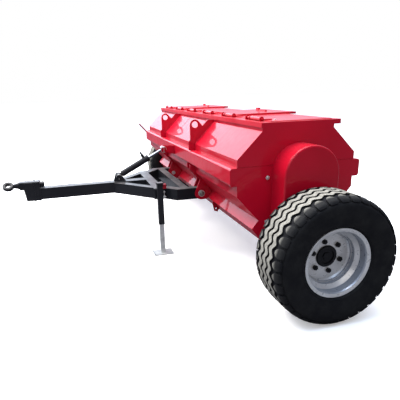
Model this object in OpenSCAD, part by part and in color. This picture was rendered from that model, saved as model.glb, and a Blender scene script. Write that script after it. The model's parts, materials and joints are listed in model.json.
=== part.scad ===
// Trailed full-width fertilizer spreader: red drop hopper on two wheels with an A-frame drawbar.
// +X points to the hitch, +Y to the machine's left, +Z up. The wheels and the jack stand on z = 0.

/* [Hopper] */
// Half of the hopper's length, to the outside of an end plate
half_len = 1600; // [1200:10:2000]
// Centre of the hopper ahead of the axle
hopper_x = 10; // [0:1:40]
// Half width at the neck under the deck
top_hw = 265; // [235:1:290]
// Half width of the upright band
band_hw = 442; // [420:1:460]
// Half width at the throat above the dosing trough
throat_hw = 283; // [260:1:300]
// Half width of the trough at its widest fold
flare_hw = 330; // [318:1:340]
// Half width of the trough's floor
floor_hw = 262; // [220:1:290]
// Top of the deck above the ground
deck_z = 1240; // [1230:1:1280]
// Height of the deck's folded lip
lip_h = 32; // [20:1:40]
// Where the upper slope starts under the neck
slope_z1 = 1186; // [1175:1:1195]
// Where the upper slope ends at the band
slope_z0 = 1010; // [1000:1:1030]
// Lower end of the upright band
band_z0 = 760; // [740:1:780]
// Height of the throat
throat_z = 579; // [575:1:590]
// Height of the trough's widest fold
flare_z = 520; // [512:1:528]
// Underside of the trough's floor
floor_z = 430; // [425:1:436]
// Sheet thickness of walls and trough
wall = 5; // [4:0.5:6]
// Thickness of the end plates
end_t = 6; // [5:0.5:8]
// Overhang of the deck in front of the neck
deck_front = 7; // [6:0.5:9]
// Overhang of the deck behind the neck
deck_back = 50; // [30:1:60]
// Deck sheet thickness
deck_t = 5; // [4:0.5:6]

/* [Beams, ribs and lugs] */
// Lower edge of the long beams
beam_z0 = 834; // [825:1:845]
// Upper edge of the long beams
beam_z1 = 956; // [940:1:970]
// Depth of the long beams
beam_d = 50; // [40:1:60]
// Corner radius of the long beams
beam_r = 18; // [10:1:22]
// Distance of a lifting rib from the middle
rib_y = 595; // [560:1:640]
// Depth of a rib
rib_d = 55; // [45:1:60]
// Thickness of ribs and lug plates
plate_t = 12; // [8:1:14]
// Lifting ear's hole ahead of the hopper's centre
ear_x = 436; // [425:1:445]
// Lifting ear's hole above the ground
ear_z = 1172; // [1165:1:1178]
// Radius of the lifting ear
ear_r = 44; // [38:1:48]
// Radius of the lifting ear's hole
ear_hole = 27; // [20:1:30]

/* [Lids] */
// Nearest edge of a lid to the middle
lid_y0 = 70; // [40:1:110]
// Strip of deck between a lid and the end plate
lid_end = 40; // [30:1:60]
// Reach of the lids behind the neck
lid_over = 5; // [0:1:20]
// Strip of deck in front of the lids, from the neck
lid_in_front = 73; // [70:1:90]
// Sheet thickness of a lid
lid_t = 4; // [3:0.5:6]
// Height of the raised pan of a lid
pan_h = 18; // [12:1:26]
// Start of the pan from the lid's right end
pan_y = 155; // [120:1:200]
// Length of the pan
pan_l = 655; // [550:1:700]
// Strip of lid in front of the pan
pan_front = 37; // [30:1:60]
// Reach of the pan behind the lid's sheet
pan_over = 101; // [80:1:110]
// Hinge line ahead of the lids' front edge
hinge_out = 23; // [22:0.5:29]
// Hinge line above the deck
hinge_up = 16; // [15:0.5:18]
// Radius of the hinge pins
hinge_r = 7; // [5:0.5:8]
// Hinge places along a lid, as shares of its length
hinge_at = [0.148, 0.51, 0.859];

/* [Wheels] */
// Outside diameter of a tyre
tyre_d = 850; // [800:1:860]
// Width of a tyre
tyre_w = 354; // [320:1:360]
// Gap between a guard and the tyre beside it
wheel_gap = 22; // [15:1:40]
// Radius of the rim's flange
rim_r = 226; // [215:1:232]
// Half width of the rim
rim_hw = 150; // [140:1:155]
// Radius of the stub axle
axle_r = 35; // [28:1:40]
// Radius of the hub's barrel
hub_r = 60; // [52:1:68]
// Radius of the hub's cap
cap_r = 72; // [66:1:80]
// Pitch circle diameter of the wheel studs
stud_pcd = 205; // [190:1:220]

/* [Drive guards] */
// Half width of a guard and radius of its arch
guard_r = 200; // [180:1:215]
// Centre of the arch above the ground
guard_z = 900; // [880:1:920]
// Lower edge of a guard
guard_z0 = 330; // [310:1:350]
// Depth of a guard, out from the end plate
guard_d = 186; // [150:1:190]
// Radius of a guard's outer edge
guard_e = 14; // [8:1:24]
// Sheet thickness of a guard
guard_t = 4; // [3:0.5:6]

/* [Drawbar] */
// Height of the drawbar's underside
bar_z0 = 514; // [508:1:518]
// Height and width of the tongue
tongue_w = 106; // [100:1:110]
// Height of the legs, rails and cross beams
rail_h = 100; // [94:1:104]
// Width of the side rails
rail_w = 80; // [70:1:84]
// Wall thickness of the tubes
tube_t = 8; // [5:0.5:10]
// Middle of the front cross beam ahead of the axle
cross_x = 765; // [750:1:780]
// Half length of the front cross beam
cross_hl = 470; // [455:1:490]
// Where the rails bend to run straight back
bend_x = 605; // [590:1:620]
// Where the legs leave the tongue
split_x = 1100; // [1060:1:1140]
// Rear end of the hitch head
head_x = 1822; // [1800:1:1840]
// Hinge pin of the drawbar ahead of the trough's widest fold
pivot_out = 62; // [60:1:68]
// Depth of the lug plates where they pass the lower slope
lug_neck = 20; // [16:1:40]
// Radius of the lug plates round the hinge pin
lug_r = 58; // [52:1:62]
// Radius of the drawbar's hinge pins
pivot_r = 20; // [16:1:22]

/* [Hitch] */
// Middle of the towing eye ahead of the axle
eye_x = 2104; // [2080:1:2140]
// Height of the towing eye's middle
eye_z = 650; // [646:1:654]
// Outer radius of the towing eye
eye_r = 50; // [44:1:56]
// Bore radius of the towing eye
eye_bore = 25; // [20:0.5:26]
// Thickness of the towing eye
eye_t = 36; // [28:1:40]
// Radius of the eye's shank
shank_r = 24; // [20:1:25]

// Length of the hitch head
head_l = 181; // [160:1:190]
// Width of the eye's socket
socket_w = 92; // [80:1:96]
// Height of the eye's socket
socket_h = 70; // [60:1:76]
// Length of the eye's nut
nut_l = 38; // [30:1:44]
// Thickness of the collars round the head
collar_t = 14; // [10:1:18]
// Distance between the collars
collar_step = 46; // [40:1:56]
// Turn of the eye about its shank, as it hangs
eye_turn = -35; // [-45:1:0]

/* [Tilt cylinder] */
// Base pin ahead of the axle
base_x = 1075; // [1060:1:1090]
// Base pin above the ground
base_z = 668; // [664:1:674]
// Rod pin ahead of the axle
rod_x = 612; // [604:1:620]
// Rod pin above the ground
rod_z = 907; // [900:1:914]
// Radius of the cylinder's pins
cyl_pin = 15; // [12:0.5:16]
// Outer radius of the barrel
barrel_r = 30; // [26:1:34]
// Radius of the rod
rod_r = 13; // [11:0.5:16]
// Distance from the base pin to the barrel's mouth
barrel_l = 352; // [345:1:370]

/* [Jack] */
// Middle of the jack ahead of the axle
jack_x = 765; // [755:1:775]
// Outside of the jack's square tube
jack_w = 50; // [46:1:56]
// Top of the jack's tube
jack_z1 = 660; // [650:1:670]
// Lower end of the jack's tube
jack_z0 = 285; // [275:1:290]
// Outside of the sliding leg
leg_w = 39; // [34:1:40]
// Length of the foot plate
foot_l = 180; // [150:1:190]
// Width of the foot plate
foot_w = 140; // [110:1:150]

/* [Hidden] */
$fn = 64;
cross_w = 90;
// Running clearance of pins in their bores
run = 0.05;
// Play of the rod's eye on its pin
eye_play = 4.2;
// Rear and front reach from the axle, which set the middle of the part
rear_reach = hopper_x - band_hw - max(beam_d, rib_d);
front_reach = eye_x + eye_r;
axle_x = -(front_reach + rear_reach) / 2;
tyre_r = tyre_d / 2;
deck_under = deck_z - deck_t;
lid_y1 = half_len - lid_end;
lid_back = top_hw + lid_over;
lid_front = top_hw - lid_in_front;
// Filling mouths under the lids, and the lids' lift tabs
mouth_y = [lid_y0 + 90, lid_y1 - 160];
mouth_x = [-lid_back + 50, lid_front - 22];
// Grab on a pan: place of its post along the pan, post, then the low bar beside it
grab_y = 275;
grab_post = [20, 50, 27];
grab_bar = [16, 190, 13];
// Step from the left lid to the right one, which is the same
lid_step = lid_y0 + lid_y1;
// Hinge lugs beside a hinge's middle and their thickness, reach of the lid's knuckle, its radius and the strap
lug_at = [-130, -62, 118];
lug_t = 8;
knuckle = [-46, 110];
knuckle_r = 13;
strap_l = 60;
strap_t = 10;
hinge_x = lid_front + hinge_out;
bar_mid = bar_z0 + rail_h / 2;
pivot_x = hopper_x + flare_hw + pivot_out;
tongue_z1 = bar_z0 + tongue_w;
rail_y = rib_y - plate_t / 2 - 1 - rail_w / 2;
jack_y = cross_hl + 10 + jack_w / 2;
wheel_y = half_len + guard_d + wheel_gap + tyre_w / 2;
carrier_t = 16;
disc_t = 12;
stud_r = 9;
stud_turn = 42;
axle_end = 4;
cap_h = 12;
cap_in = 8;
rim_well = rim_r - 53;
// Where a rail leaves the cross beam, and its run per length out to the bend
rail_y0 = cross_hl - 65;
rail_k = (rail_y - rail_y0) / (cross_x - cross_w / 2 - bend_x);
// Outer line of the hopper's front half, from the deck down to the middle of the floor
fold = [[top_hw, deck_under], [top_hw, slope_z1], [band_hw, slope_z0], [band_hw, band_z0],
        [throat_hw, throat_z], [flare_hw, flare_z], [floor_hw, floor_z], [0, floor_z]];
last = len(fold) - 1;
throat_i = 4;
// Outlets in the trough's floor
outlet_step = 170;
outlet_r = 18;
outlet_n = floor((2 * half_len - 100) / outlet_step);
// Agitator fingers
finger_step = 190;
finger_l = 62;
finger_r = 7;
finger_n = floor((2 * half_len - 2 * end_t - 120) / finger_step);
shaft_r = 20;
shaft_z = flare_z - 10;
// Shutter slide: width, thickness and distance from the hopper's ends
slide_w = 120;
slide_t = 8;
slide_in = 40;
// Seam between the two sheets of an end plate
seam_d = 3;
seam_h = 5;
// Places of small brackets
hanger_y = 756;
rear_tube_x = 540;
rear_tube_w = 70;
carrier_w = 300;
carrier_h = 370;
lever_low = [365, 807];
lever_high = [579, 1045];
lever_r = 9;
lever_gap = 22;
// Ends of the cylinder: half gap between its bracket plates, ear radius and the barrel's start
cyl_gap = 27;
cyl_ear = 32;
cyl_side = 1;
barrel_x0 = cyl_ear + 6;
// Barrel: port before its open end, bottom of its bore; rod inside it at rest
port_in = 60;
bore_in = 80;
rod_in = 200;
// Cylinder direction and length between its pins
cyl_v = [rod_x - base_x, rod_z - base_z];
cyl_l = norm(cyl_v);
cyl_a = atan2(cyl_v[1], cyl_v[0]);

// Line helpers
function unit(v) = v / norm(v);
function side(a, b) = let (d = unit(b - a)) [d[1], -d[0]];
function mitre(p, i, t) =
    let (n1 = i > 0 ? side(p[i - 1], p[i]) : side(p[i], p[i + 1]),
         n2 = i < len(p) - 1 ? side(p[i], p[i + 1]) : n1,
         m = unit(n1 + n2))
    p[i] + m * t / (m * n1);
function strip(p, a, b, t) =
    concat([for (i = [a:b]) p[i]], [for (i = [b:-1:a]) mitre(p, i, t)]);
function band(p, w) =
    concat([for (i = [0:len(p) - 1]) mitre(p, i, w / 2)],
           [for (i = [len(p) - 1:-1:0]) mitre(p, i, -w / 2)]);

// A drawing in x and z, made solid from y0 over h
module upright(y0, h) {
    translate([0, y0 + h, 0])
        rotate([90, 0, 0])
            linear_extrude(h)
                children();
}

// A round bar along y
module bar_y(x, z, y0, h, r) {
    translate([x, y0, z])
        rotate([-90, 0, 0])
            cylinder(h = h, r = r);
}

// A round bar along x
module bar_x(x0, y, z, h, r) {
    translate([x0, y, z])
        rotate([0, 90, 0])
            cylinder(h = h, r = r);
}

module at_axle() {
    translate([axle_x, 0, 0])
        children();
}

module at_hopper() {
    translate([axle_x + hopper_x, 0, 0])
        children();
}

module both_sides() {
    children();
    mirror([0, 1, 0])
        children();
}

// Hopper shell
module wall_sheet() {
    upright(-half_len + end_t, 2 * (half_len - end_t))
        polygon(strip(fold, 0, throat_i, wall));
}

module front_wall() {
    color("#c8142a")
        at_hopper()
            wall_sheet();
}

module rear_wall() {
    color("#c8142a")
        at_hopper()
            mirror([1, 0, 0])
                wall_sheet();
}

module end_plate() {
    side_line = concat([[top_hw + deck_front, deck_under], [top_hw + deck_front, deck_z - lip_h],
                        [top_hw, deck_z - lip_h]], [for (i = [1:last]) fold[i]]);
    back_line = concat([for (i = [last - 1:-1:1]) [-fold[i][0], fold[i][1]]],
                       [[-top_hw, deck_z - lip_h], [-top_hw - deck_back, deck_z - lip_h],
                        [-top_hw - deck_back, deck_under]]);
    difference() {
        upright(half_len - end_t, end_t)
            polygon(concat(side_line, back_line));
        bar_y(0, shaft_z, half_len - end_t - 1, end_t + 2, shaft_r + run);
        translate([-band_hw - 1, half_len - seam_d, beam_z1])
            cube([2 * band_hw + 2, seam_d + 1, seam_h]);
    }
}

module end_plate_left() {
    color("#b81226")
        at_hopper()
            end_plate();
}

module end_plate_right() {
    color("#b81226")
        at_hopper()
            mirror([0, 1, 0])
                end_plate();
}

module top_deck() {
    x0 = -top_hw - deck_back;
    x1 = top_hw + deck_front;
    y1 = half_len - end_t;
    color("#c8142a")
        at_hopper()
            difference() {
                union() {
                    translate([x0, -half_len, deck_under])
                        cube([x1 - x0, 2 * half_len, deck_t]);
                    for (x = [x0, x1 - wall])
                        translate([x, -y1, deck_z - lip_h])
                            cube([wall, 2 * y1, lip_h - 1]);
                }
                both_sides()
                    translate([mouth_x[0], mouth_y[0], deck_under - 1])
                        cube([mouth_x[1] - mouth_x[0], mouth_y[1] - mouth_y[0], deck_t + 2]);
            }
}

// Long beams, closed channels with rounded outer corners
module beam_section() {
    difference() {
        union() {
            translate([band_hw, beam_z0])
                square([beam_d - beam_r, beam_z1 - beam_z0]);
            translate([band_hw, beam_z0 + beam_r])
                square([beam_d, beam_z1 - beam_z0 - 2 * beam_r]);
            for (z = [beam_z0 + beam_r, beam_z1 - beam_r])
                translate([band_hw + beam_d - beam_r, z])
                    circle(beam_r);
        }
        translate([band_hw - 1, beam_z0 + wall])
            square([beam_d - beam_r + 1, beam_z1 - beam_z0 - 2 * wall]);
    }
}

module beam() {
    upright(-half_len + end_t, 2 * (half_len - end_t))
        beam_section();
    both_sides()
        translate([band_hw, half_len - end_t, beam_z0 + beam_r])
            cube([beam_d, end_t, beam_z1 - beam_z0 - 2 * beam_r]);
    both_sides()
        for (z = [beam_z0 + beam_r, beam_z1 - beam_r])
            bar_y(band_hw + beam_d - beam_r, z, half_len - end_t, end_t, beam_r);
    both_sides()
        translate([band_hw, half_len - end_t, beam_z0])
            cube([beam_d - beam_r, end_t, beam_z1 - beam_z0]);
}

module front_beam() {
    color("#c8142a")
        at_hopper()
            beam();
}

module rear_beam() {
    color("#c8142a")
        at_hopper()
            mirror([1, 0, 0])
                beam();
}

// Dosing trough, its slide and the hangers of the slide rod
module dosing_trough() {
    color("#b81226")
        at_hopper()
            difference() {
                for (m = [0, 1])
                    mirror([m, 0, 0])
                        upright(-half_len + end_t, 2 * (half_len - end_t))
                            polygon(strip(fold, throat_i, last, wall));
                outlets(floor_z - 1, wall + 2);
            }
}

module outlets(z0, h) {
    for (i = [0:outlet_n - 1])
        translate([0, (i - (outlet_n - 1) / 2) * outlet_step, z0])
            cylinder(h = h, r = outlet_r);
}

module shutter_slide() {
    color("#8f1020")
        at_hopper()
            difference() {
                translate([-slide_w / 2, -half_len + slide_in, floor_z - slide_t])
                    cube([slide_w, 2 * (half_len - slide_in), slide_t]);
                outlets(floor_z - slide_t - 1, slide_t + 2);
            }
}

module slide_hangers() {
    low = fold[last - 1] + (fold[last - 2] - fold[last - 1]) * 0.25;
    color("#7c1020")
        at_hopper()
            both_sides()
                difference() {
                    upright(hanger_y, plate_t)
                        polygon([fold[last - 2], [flare_hw + 12, flare_z - 12],
                                 [flare_hw - 6, floor_z + 4], [floor_hw + 34, floor_z - 6], low]);
                    bar_y(flare_hw - 22, floor_z + 24, hanger_y - 1, plate_t + 2, 8);
                }
}

// Lifting ribs with their ears
module rib_plate() {
    path = [[top_hw, deck_z - lip_h - 1], [top_hw, slope_z1], [band_hw, slope_z0],
            [band_hw, beam_z1]];
    knee = mitre(path, 2, -rib_d);
    difference() {
        union() {
            polygon(strip(path, 0, 3, -rib_d));
            translate([ear_x, ear_z])
                circle(ear_r);
            polygon([[ear_x + ear_r, ear_z], [ear_x + ear_r, knee[1] + 10],
                     [ear_x - ear_r - 26, ear_z - 13], [ear_x - ear_r * 0.7, ear_z + ear_r * 0.7]]);
        }
        translate([ear_x, ear_z])
            circle(ear_hole);
    }
}

module lifting_ribs() {
    color("#b81226")
        at_hopper()
            both_sides()
                for (m = [0, 1])
                    mirror([m, 0, 0])
                        upright(rib_y - plate_t / 2, plate_t)
                            rib_plate();
}

// Clevis plates that carry the drawbar
module lug_plate() {
    px = pivot_x - hopper_x;
    neck_z = bar_mid + 126;
    neck_x = throat_hw + (band_hw - throat_hw) * (neck_z - throat_z) / (band_z0 - throat_z) + lug_neck;
    difference() {
        union() {
            polygon([[band_hw, beam_z0], [band_hw + beam_d, beam_z0], [band_hw + beam_d, beam_z0 - 40],
                     [neck_x, neck_z], [px + lug_r - 4, bar_mid + 16], [px, bar_mid - lug_r],
                     [flare_hw + 12, bar_mid - lug_r], fold[5], fold[4], fold[3]]);
            translate([px, bar_mid])
                circle(lug_r);
        }
        translate([px, bar_mid])
            circle(pivot_r);
    }
}

module drawbar_lugs() {
    color("#b81226")
        at_hopper()
            both_sides()
                for (y = [rib_y - plate_t / 2, rail_y - rail_w / 2 - 1 - plate_t])
                    upright(y, plate_t)
                        lug_plate();
}

module drawbar_pins() {
    y0 = rail_y - rail_w / 2 - 1 - plate_t;
    y1 = rib_y + plate_t / 2;
    color("#a9a9a2")
        at_axle()
            both_sides() {
                bar_y(pivot_x, bar_mid, y0 - 14, y1 - y0 + 14, pivot_r);
                bar_y(pivot_x, bar_mid, y1, 12, pivot_r + 10);
            }
}

// Bracket and pin for the cylinder's rod on the front beam
module cylinder_bracket() {
    bx = hopper_x + band_hw + beam_d;
    color("#b81226")
        at_axle() {
            for (y = [cyl_gap, -cyl_gap - plate_t])
                upright(y, plate_t)
                    difference() {
                        union() {
                            polygon([[bx, beam_z0 + beam_r], [rod_x - 6, rod_z - 28],
                                     [rod_x - 6, rod_z + 28], [bx, beam_z1 - beam_r]]);
                            translate([rod_x, rod_z])
                                circle(cyl_ear - 3);
                        }
                        translate([rod_x, rod_z])
                            circle(cyl_pin);
                    }
            bar_y(rod_x, rod_z, -cyl_gap - plate_t - 6, 2 * (cyl_gap + plate_t + 6), cyl_pin);
        }
}

// Guards of the wheel drives, with a rounded outer edge
function guard_half(r, d, e) =
    concat([[0, 0], [r, 0]], [for (a = [0:18:90]) [r - e + e * cos(a), d - e + e * sin(a)]], [[0, d]]);

module guard_body(r, z0, y0, d, e) {
    half = guard_half(r, d, e);
    translate([0, y0, guard_z])
        rotate([-90, 0, 0])
            rotate_extrude($fn = 96)
                polygon(half);
    translate([0, y0, z0])
        linear_extrude(guard_z - z0)
            polygon(concat(half, [for (i = [len(half) - 2:-1:1]) [-half[i][0], half[i][1]]]));
}

module drive_guard() {
    difference() {
        guard_body(guard_r, guard_z0, half_len, guard_d, guard_e);
        guard_body(guard_r - guard_t, guard_z0 + guard_t, half_len - 1, guard_d - guard_t + 1,
                   guard_e - guard_t);
        bar_y(0, tyre_r, half_len, guard_d + 1, axle_r + 12);
    }
}

module drive_guard_left() {
    color("#c8142a")
        at_axle()
            drive_guard();
}

module drive_guard_right() {
    color("#c8142a")
        at_axle()
            mirror([0, 1, 0])
                drive_guard();
}

// Stub axles on their carrier plates
module stub_axle() {
    translate([-carrier_w / 2, half_len, guard_z0 + 15])
        cube([carrier_w, carrier_t, carrier_h]);
    bar_y(0, tyre_r, half_len + carrier_t - 1, wheel_y + axle_end - half_len - carrier_t + 1, axle_r);
    bar_y(0, tyre_r, half_len + carrier_t - 1, guard_d - 20, axle_r + 10);
}

module stub_axle_left() {
    color("#26262a")
        at_axle()
            stub_axle();
}

module stub_axle_right() {
    color("#26262a")
        at_axle()
            mirror([0, 1, 0])
                stub_axle();
}

// Metering lever on the right end plate
module metering_lever() {
    low = [hopper_x, 0] + lever_low;
    v = lever_high - lever_low;
    y = -half_len - lever_gap;
    color("#7c1020")
        at_axle() {
            translate([low[0], y, low[1]])
                rotate([0, atan2(v[0], v[1]), 0])
                    cylinder(h = norm(v), r = lever_r);
            bar_y(low[0], low[1], y - 14, 14 + lever_gap, 24);
            upright(-half_len - 8, 8)
                polygon([low + [-60, -40], low + [40, -40], low + [70, 60], low + [30, 120],
                         low + [-60, 60]]);
        }
}

// Agitator inside the trough
module agitator() {
    color("#5a5a58")
        at_hopper() {
            bar_y(0, shaft_z, -half_len + 1, 2 * half_len - 2, shaft_r);
            for (i = [0:finger_n - 1])
                translate([0, (i - (finger_n - 1) / 2) * finger_step, shaft_z])
                    rotate([0, i % 2 == 0 ? 45 : -45, 0])
                        translate([0, 0, -finger_l])
                            cylinder(h = 2 * finger_l, r = finger_r);
        }
}

// Hinges of the lids, fixed halves
function hinge_y(i) = lid_y0 + hinge_at[i] * (lid_y1 - lid_y0);

module lid_hinges() {
    color("#a01022")
        at_hopper()
            for (step = [0, lid_step])
                for (i = [0:len(hinge_at) - 1])
                    for (y = lug_at)
                        upright(hinge_y(i) + y - step, lug_t)
                            difference() {
                                union() {
                                    translate([hinge_x - knuckle_r - 2, deck_z])
                                        square([2 * knuckle_r + 4, hinge_up]);
                                    translate([hinge_x, deck_z + hinge_up])
                                        circle(knuckle_r + 2);
                                }
                                translate([hinge_x, deck_z + hinge_up])
                                    circle(hinge_r + run);
                            }
}

// A lid: flat sheet with a raised pan, hinge straps and a grab on the pan
module lid() {
    z0 = deck_z + 0.5;
    hz = deck_z + hinge_up;
    y0 = lid_y0 + pan_y;
    x0 = -lid_back - pan_over;
    pan_w = lid_front - pan_front - x0;
    difference() {
        union() {
            translate([-lid_back, lid_y0, z0])
                cube([lid_back + lid_front, lid_y1 - lid_y0, lid_t]);
            translate([x0, y0, z0])
                cube([pan_w, pan_l, pan_h]);
        }
        translate([x0 + lid_t, y0 + lid_t, z0 - 1])
            cube([pan_w - 2 * lid_t, pan_l - 2 * lid_t, pan_h - lid_t + 1]);
    }
    for (i = [0:len(hinge_at) - 1]) {
        y = hinge_y(i);
        translate([lid_front - strap_l, y + knuckle[0], z0 + lid_t - 1])
            cube([hinge_out + strap_l, knuckle[1] - knuckle[0], strap_t]);
        bar_y(hinge_x, hz, y + knuckle[0], knuckle[1] - knuckle[0], knuckle_r);
        bar_y(hinge_x, hz, y + lug_at[0] - 8, lug_at[2] - lug_at[0] + lug_t + 16, hinge_r);
    }
    translate([x0 + pan_w / 3, y0 + grab_y, z0 + pan_h - 1]) {
        cube(grab_post + [0, 0, 1]);
        translate([(grab_post[0] - grab_bar[0]) / 2, 0, 0])
            cube(grab_bar + [0, 0, 1]);
    }
}

module lid_left() {
    color("#c8142a")
        at_hopper()
            lid();
}

module lid_right() {
    color("#c8142a")
        at_hopper()
            translate([0, -lid_step, 0])
                lid();
}

// Drawbar tubes
module flat_tube(path, w, h, cut0, cut1) {
    n = len(path) - 1;
    d0 = unit(path[0] - path[1]);
    d1 = unit(path[n] - path[n - 1]);
    inner = [for (i = [0:n]) i == 0 ? path[0] + d0 * cut0 : i == n ? path[n] + d1 * cut1 : path[i]];
    difference() {
        translate([0, 0, bar_z0])
            linear_extrude(h)
                polygon(band(path, w));
        translate([0, 0, bar_z0 + tube_t])
            linear_extrude(h - 2 * tube_t)
                polygon(band(inner, w - 2 * tube_t));
    }
}

module tongue() {
    color("#1c1c1f")
        at_axle()
            flat_tube([[cross_x + cross_w / 2, 0], [head_x, 0]], tongue_w, tongue_w, 1, 1);
}

module front_cross_beam() {
    color("#1c1c1f")
        at_axle()
            flat_tube([[cross_x, -cross_hl], [cross_x, cross_hl]], cross_w, rail_h, 1, 1);
}

// Legs are cut where they meet the tongue and the cross beam
module leg() {
    difference() {
        flat_tube([[split_x + 40, tongue_w / 2 - 60], [cross_x, cross_hl - 40]], 70, rail_h, 1, 1);
        translate([cross_x - 200, -200, bar_z0 - 1])
            cube([200 + cross_w / 2, cross_hl + 400, rail_h + 2]);
        translate([cross_x - 200, -200, bar_z0 - 1])
            cube([split_x - cross_x + 600, 200 + tongue_w / 2, rail_h + 2]);
    }
}

module drawbar_legs() {
    color("#1c1c1f")
        at_axle()
            both_sides()
                leg();
}

// Rails run out to the bend and then straight back to the hinge
module rail() {
    difference() {
        union() {
            difference() {
                flat_tube([[cross_x + 15, rail_y0 - 60 * rail_k], [bend_x, rail_y],
                           [pivot_x - 38, rail_y]], rail_w, rail_h, 1, 1);
                translate([cross_x - cross_w / 2, -100, bar_z0 - 1])
                    cube([300, rib_y + 300, rail_h + 2]);
            }
            bar_y(pivot_x, bar_mid, rail_y - rail_w / 2, rail_w, pivot_r + 12);
        }
        bar_y(pivot_x, bar_mid, rail_y - rail_w / 2 - 1, rail_w + 2, pivot_r + run);
    }
}

module side_rails() {
    color("#1c1c1f")
        at_axle()
            both_sides()
                rail();
}

module rear_cross_tube() {
    hl = rail_y - rail_w / 2;
    color("#26262a")
        at_axle()
            flat_tube([[rear_tube_x, -hl], [rear_tube_x, hl]], rear_tube_w, rail_h, 1, 1);
}

// Socket for the eye's shank over two side plates with slanted fronts
module hitch_head() {
    x1 = head_x + head_l;
    under = eye_z - socket_h / 2;
    color("#1c1c1f")
        at_axle()
            difference() {
                union() {
                    translate([head_x, -socket_w / 2, under])
                        cube([head_l, socket_w, socket_h]);
                    for (m = [0, 1])
                        mirror([0, m, 0])
                            upright(tongue_w / 2 - 5, plate_t)
                                polygon([[head_x, bar_z0 - 6], [x1 - 53, bar_z0 - 6], [x1 - 34, under + 20],
                                         [x1 - 34, eye_z + socket_h / 2 - 6], [head_x, eye_z + socket_h / 2 - 6]]);
                    upright(-tongue_w / 2 + 5, tongue_w - 10)
                        polygon([[head_x, bar_z0], [x1 - 66, bar_z0], [x1 - 48, under + 1],
                                 [head_x, under + 1]]);
                    for (x = [head_x, head_x + collar_step])
                        translate([x, -tongue_w / 2 - plate_t, bar_z0 - 9])
                            cube([collar_t, tongue_w + 2 * plate_t, eye_z + socket_h / 2 + 12 - bar_z0]);
                }
                bar_x(head_x - 1, 0, eye_z, head_l + 2, shank_r + run);
            }
}

module towing_eye() {
    x1 = head_x + head_l;
    c = eye_t / 6;
    color("#2a2a2c")
        at_axle()
            difference() {
                union() {
                    translate([eye_x, 0, eye_z])
                        rotate([eye_turn, 0, 0])
                            rotate_extrude()
                            polygon([[eye_bore - 5, -eye_t / 2], [eye_r - c, -eye_t / 2], [eye_r, -eye_t / 2 + c],
                                     [eye_r, eye_t / 2 - c], [eye_r - c, eye_t / 2], [eye_bore - 5, eye_t / 2]]);
                    bar_x(head_x - nut_l - 2, 0, eye_z, head_l + nut_l + 20, shank_r);
                    bar_x(x1 + 0.5, 0, eye_z, 14, shank_r + 8);
                    translate([x1 + 14, 0, eye_z])
                        rotate([0, 90, 0])
                            cylinder(h = eye_x - eye_bore - 6 - x1 - 14, r1 = shank_r + 4, r2 = eye_t / 2 - 2);
                    translate([head_x - nut_l - 0.5, 0, eye_z])
                        rotate([0, 90, 0])
                            cylinder(h = nut_l, r = shank_r + 5, $fn = 6);
                }
                translate([eye_x, 0, eye_z])
                    rotate([eye_turn, 0, 0])
                        cylinder(h = 3 * eye_t, r = eye_bore, center = true);
            }
}

// Bracket and pin of the cylinder's base
module cylinder_base() {
    color("#1c1c1f")
        at_axle() {
            for (y = [cyl_gap, -cyl_gap - 10])
                upright(y, 10)
                    difference() {
                        union() {
                            polygon([[base_x - cyl_ear - 34, tongue_z1], [base_x + cyl_ear + 18, tongue_z1],
                                     [base_x + cyl_ear - 3, base_z + 12], [base_x - cyl_ear + 3, base_z + 12]]);
                            translate([base_x, base_z])
                                circle(cyl_ear);
                        }
                        translate([base_x, base_z])
                            circle(cyl_pin);
                    }
            bar_y(base_x, base_z, -cyl_gap - 16, 2 * (cyl_gap + 16), cyl_pin);
        }
}

// Cylinder in its own line, from the base pin towards the rod pin
module along_cylinder() {
    translate([base_x, 0, base_z])
        rotate([0, -cyl_a, 0])
            children();
}

module cylinder_barrel() {
    color("#1c1c1f")
        at_axle()
            along_cylinder()
                difference() {
                    union() {
                        bar_y(0, 0, -cyl_gap + cyl_side, 2 * (cyl_gap - cyl_side), cyl_ear - 4);
                        bar_x(10, 0, 0, barrel_x0 - 8, cyl_gap - 6);
                        bar_x(barrel_x0, 0, 0, barrel_l - barrel_x0, barrel_r);
                        bar_x(barrel_l - 24, 0, 0, 24, barrel_r + 4);
                        translate([barrel_l - port_in, -14, -barrel_r - 22])
                            cube([28, 28, barrel_r + 22]);
                    }
                    bar_y(0, 0, -cyl_gap, 2 * cyl_gap, cyl_pin + run);
                    bar_x(bore_in, 0, 0, barrel_l, rod_r + run);
                }
}

module cylinder_rod() {
    color("#d8d8d6")
        at_axle()
            along_cylinder()
                difference() {
                    union() {
                        bar_x(barrel_l - rod_in, 0, 0, cyl_l - barrel_l + rod_in - cyl_ear + 8, rod_r);
                        bar_y(cyl_l, 0, -cyl_gap + 2 * cyl_side, 2 * (cyl_gap - 2 * cyl_side), cyl_ear - 4);
                    }
                    bar_y(cyl_l, 0, -cyl_gap, 2 * cyl_gap, cyl_pin + eye_play);
                }
}

// Jack on the left end of the cross beam
module jack_tube() {
    color("#1c1c1f")
        at_axle() {
            difference() {
                translate([jack_x - jack_w / 2, jack_y - jack_w / 2, jack_z0])
                    cube([jack_w, jack_w, jack_z1 - jack_z0]);
                translate([jack_x - leg_w / 2 - 0.5, jack_y - leg_w / 2 - 0.5, jack_z0 - 1])
                    cube([leg_w + 1, leg_w + 1, jack_z1 - jack_z0 + 2]);
            }
            translate([jack_x - jack_w / 2 - 5, jack_y - jack_w / 2 - 5, jack_z1])
                cube([jack_w + 10, jack_w + 10, 15]);
            translate([jack_x - 40, cross_hl, bar_z0 + 5])
                cube([80, 10, rail_h - 10]);
        }
}

module jack_gear() {
    color("#6e1420")
        at_axle()
            translate([jack_x - jack_w / 2 - 32, jack_y - 22, bar_z0 + rail_h + 4])
                cube([32, 44, 40]);
}

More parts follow.
